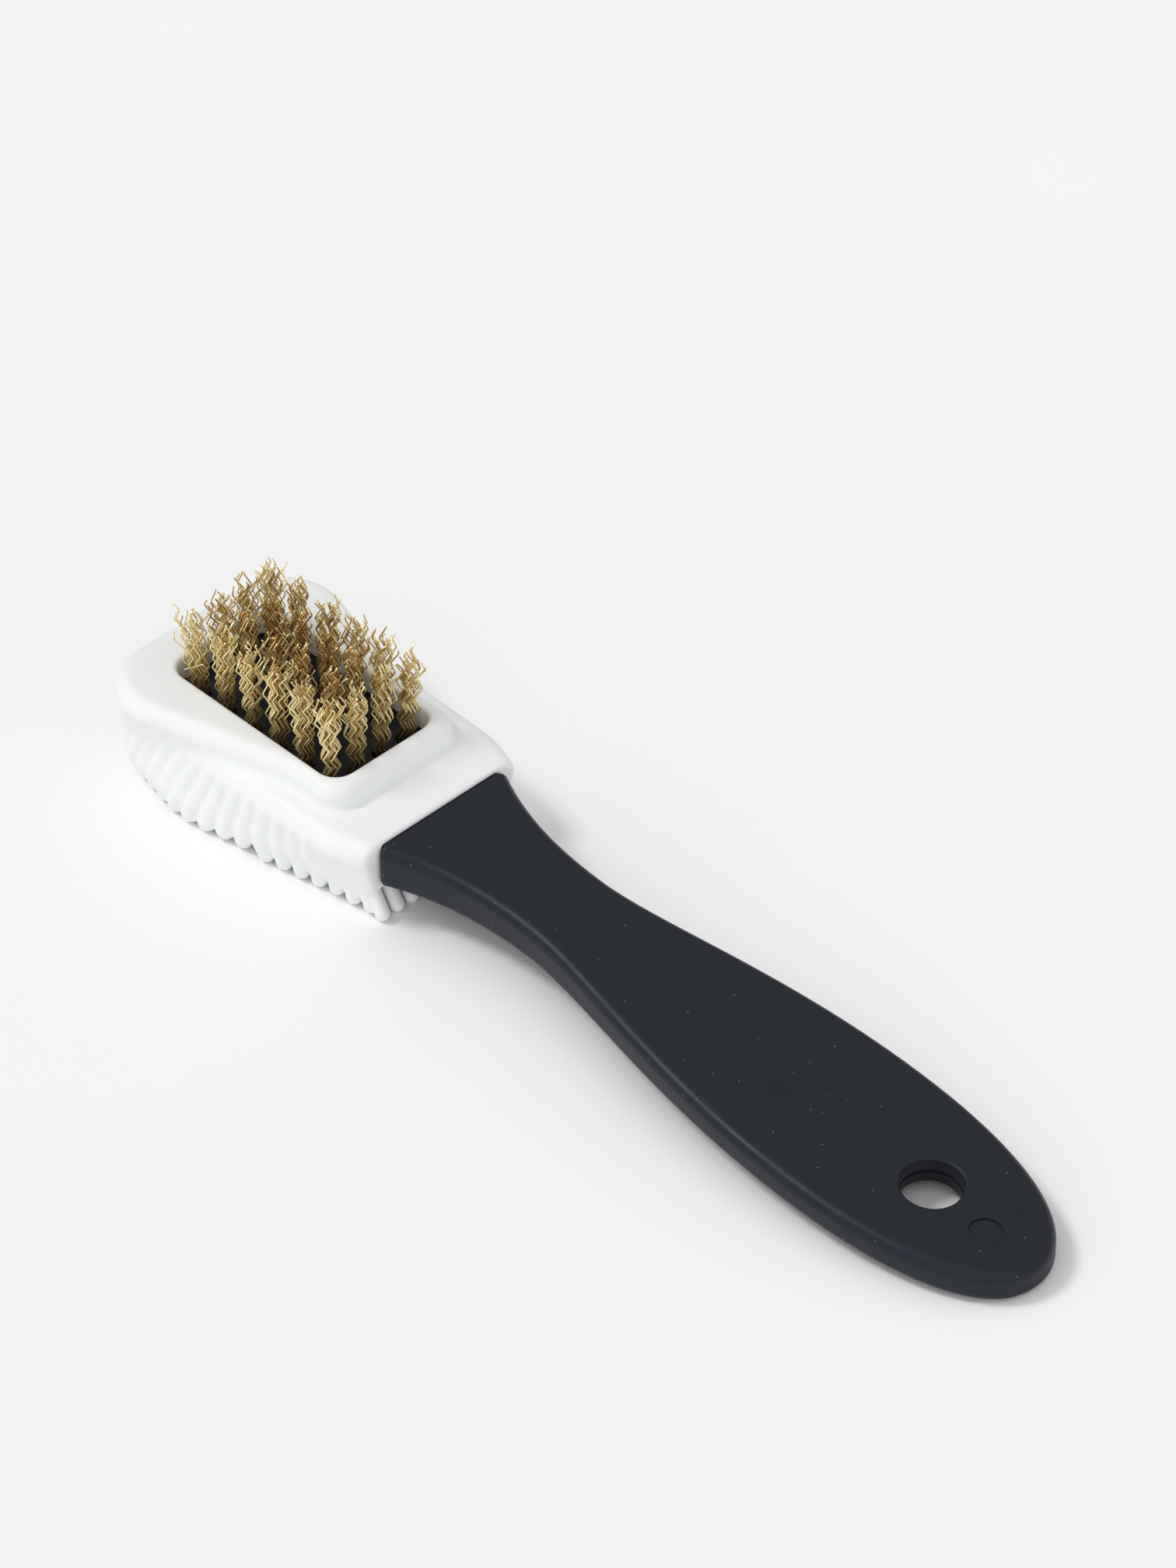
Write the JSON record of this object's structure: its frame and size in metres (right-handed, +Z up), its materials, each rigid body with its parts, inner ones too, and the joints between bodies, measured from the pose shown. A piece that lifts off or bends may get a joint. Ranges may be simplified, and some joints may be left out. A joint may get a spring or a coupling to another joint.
{
  "type": "suede brush",
  "caption": "Hand brush for suede: slim moulded handle with a hanging hole, a white ribbed rubber boot with scrubbing fingers, and crimped brass bristle tufts set in its window.",
  "frame": {"origin": "on the floor that the brush lies on, under the middle of its overall length and width", "axes": "+X from the rubber head to the tail of the handle, +Z up the way the bristles point"},
  "size_m": [0.166, 0.038, 0.0279],
  "materials": {
    "handle_plastic": "fine moulded satin",
    "boot_rubber": "smooth matt",
    "bristle_brass": "drawn wire",
    "anchor_steel": "plain strip"
  },
  "bodies": {
    "root": {"handle": "handle_plastic", "rubber_boot": "boot_rubber", "tuft_anchors": "anchor_steel", "tuft_1_1": "bristle_brass", "tuft_1_2": "bristle_brass", "tuft_1_3": "bristle_brass", "tuft_1_4": "bristle_brass", "tuft_1_5": "bristle_brass", "tuft_1_6": "bristle_brass", "tuft_2_1": "bristle_brass", "tuft_2_2": "bristle_brass", "tuft_2_3": "bristle_brass", "tuft_2_4": "bristle_brass", "tuft_2_5": "bristle_brass", "tuft_2_6": "bristle_brass", "tuft_3_1": "bristle_brass", "tuft_3_2": "bristle_brass", "tuft_3_3": "bristle_brass", "tuft_3_4": "bristle_brass", "tuft_3_5": "bristle_brass", "tuft_3_6": "bristle_brass", "tuft_4_1": "bristle_brass", "tuft_4_2": "bristle_brass", "tuft_4_3": "bristle_brass", "tuft_4_4": "bristle_brass", "tuft_4_5": "bristle_brass", "tuft_4_6": "bristle_brass"}
  },
  "joints": []
}
